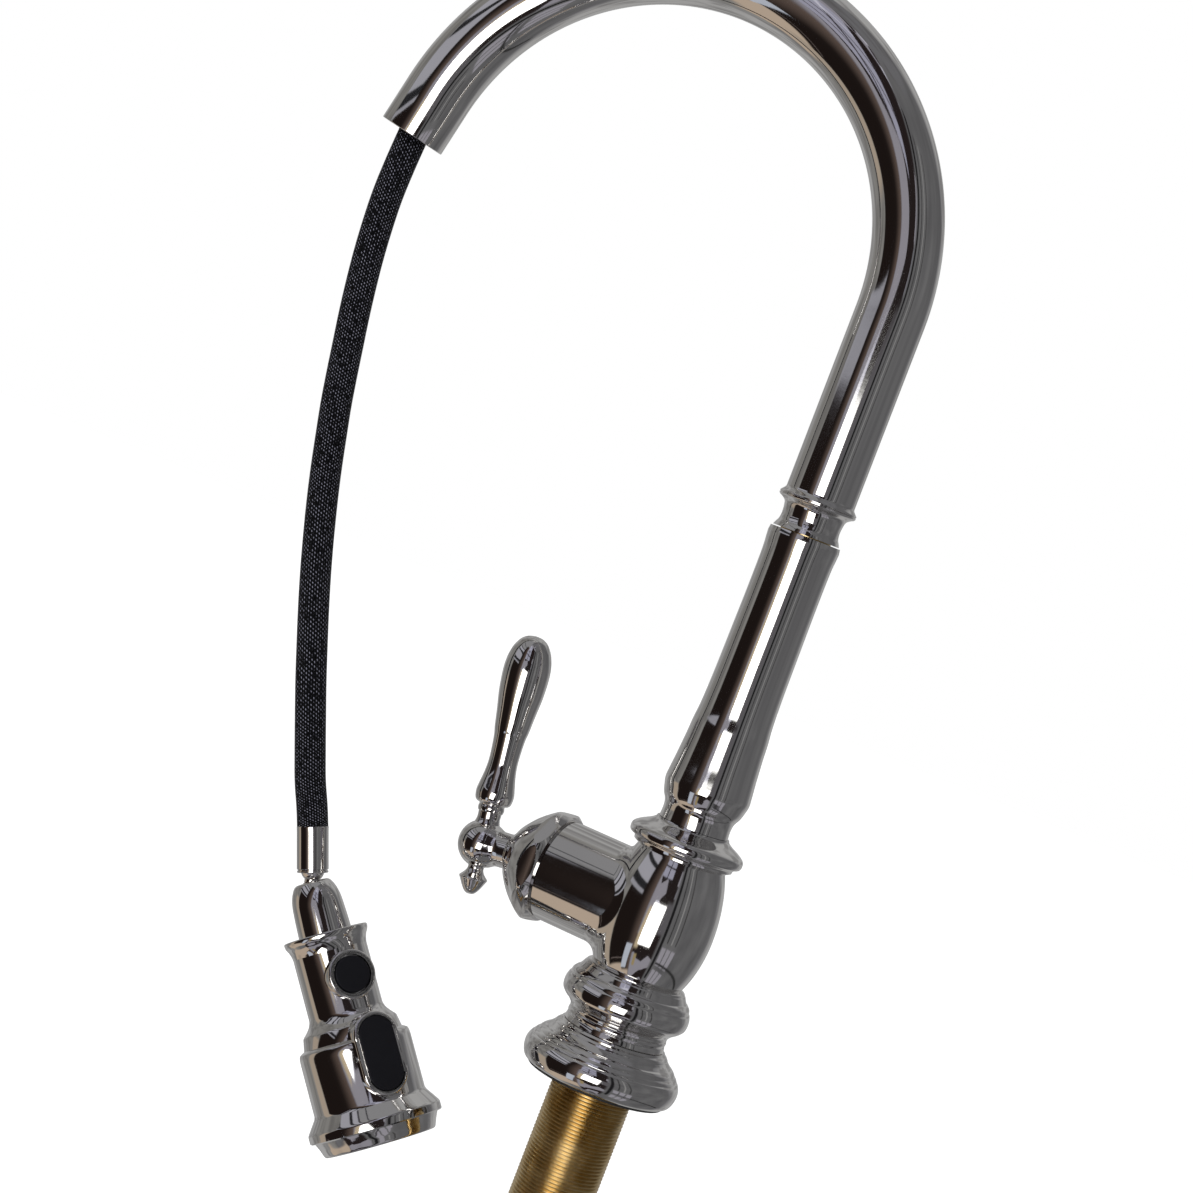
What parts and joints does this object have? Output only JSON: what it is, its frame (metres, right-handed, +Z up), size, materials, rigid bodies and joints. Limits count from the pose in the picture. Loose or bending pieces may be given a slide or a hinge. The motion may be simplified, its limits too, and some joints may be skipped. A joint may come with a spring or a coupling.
{
  "type": "pull-down kitchen faucet",
  "caption": "Traditional pull-down kitchen faucet: turned body with a side lever valve, gooseneck spout that swivels, and a spray head pulled out on a braided hose.",
  "frame": {"origin": "centre of the base on the deck plane, on the axis of the threaded shank", "axes": "+Z up the body axis; -X along the valve towards the lever; the spout's rest pose is turned 9.24 degrees from -X towards -Y; +X is behind the faucet"},
  "size_m": [0.2869, 0.0806, 0.7591],
  "materials": {
    "polished_metal": "polished nickel or chrome plate on brass",
    "inner_steel": "plain turned steel",
    "brass": "machined brass",
    "black_rubber": "moulded black rubber",
    "white_nylon": "moulded white nylon",
    "braided_hose": "black braid with a light fleck",
    "black_plastic": "matte black plastic"
  },
  "bodies": {
    "faucet_body": {"threaded_shank": "brass", "base_gasket": "black_rubber", "base_flange": "polished_metal", "body_casting": "polished_metal", "column": "polished_metal", "swivel_rings": "white_nylon", "outlet_tube": "brass", "hose_connector": "brass", "hose_loop": "braided_hose", "hose_inner_body": "braided_hose", "cartridge_body": "white_nylon", "cartridge_seals": "black_rubber", "cartridge_retainer": "brass", "valve_bonnet": "polished_metal"},
    "valve_spindle": {"cartridge_spindle": "inner_steel"},
    "lever": {"tilt_ball": "polished_metal", "lever_stem": "polished_metal", "lever_pin": "inner_steel", "lever_ball": "polished_metal", "lever_handle": "polished_metal", "lever_finial": "polished_metal"},
    "spout": {"spout_collar": "polished_metal", "swivel_sleeve": "brass", "swivel_seal": "black_rubber", "sleeve_clip": "inner_steel", "spout_tube": "polished_metal", "spout_mouth": "polished_metal", "hose_guide": "white_nylon", "hose_inner_spout": "braided_hose", "hose_free": "braided_hose"},
    "hose_end": {"hose_ferrule": "polished_metal", "swivel_stem": "polished_metal"},
    "spray_head": {"swivel_nut": "brass", "head_plug": "polished_metal", "docking_collar": "polished_metal", "head_shell": "polished_metal", "waterway_core": "white_nylon", "button_block": "white_nylon", "bottom_ring": "polished_metal", "spray_face": "black_plastic", "spray_nozzles": "black_rubber", "aerator": "inner_steel", "toggle_pin": "inner_steel"},
    "pause_button": {"pause_button": "black_plastic"},
    "spray_toggle": {"toggle_pad": "black_plastic"}
  },
  "joints": [
    {"name": "temperature_turn", "type": "hinge", "parent": "faucet_body", "child": "valve_spindle", "pos_m": [-0.06, 0, 0.0711], "axis": [1, 0, 0], "range_deg": [-45, 45]},
    {"name": "lever_lift", "type": "hinge", "parent": "valve_spindle", "child": "lever", "pos_m": [-0.06, 0, 0.0711], "axis": [0, 1, 0], "range_deg": [0, 18]},
    {"name": "spout_swivel", "type": "hinge", "parent": "faucet_body", "child": "spout", "pos_m": [0, 0, 0.2315], "axis": [0, 0, 1], "continuous": true},
    {"name": "hose_pull", "type": "hinge", "parent": "spout", "child": "hose_end", "pos_m": [0.16078, 0.02616, 0.26126], "axis": [-0.1606, 0.987, 0], "range_deg": [0, 50.8], "deforming": ["hose_free", "hose_inner_spout"]},
    {"name": "head_spin", "type": "hinge", "parent": "hose_end", "child": "spray_head", "pos_m": [-0.13797, -0.02244, 0.0282], "axis": [0.605, 0.0984, -0.7902], "continuous": true},
    {"name": "pause_press", "type": "slide", "parent": "spray_head", "child": "pause_button", "axis": [-0.6493, 0.6353, -0.418], "range_m": [0, 0.0012], "stiffness_N_per_m": 600, "springref_m": -0.002},
    {"name": "toggle_rock", "type": "hinge", "parent": "spray_head", "child": "spray_toggle", "pos_m": [-0.07923, -0.0289, -0.02116], "axis": [0.4609, 0.7659, 0.4483], "range_deg": [-3, 3]}
  ]
}
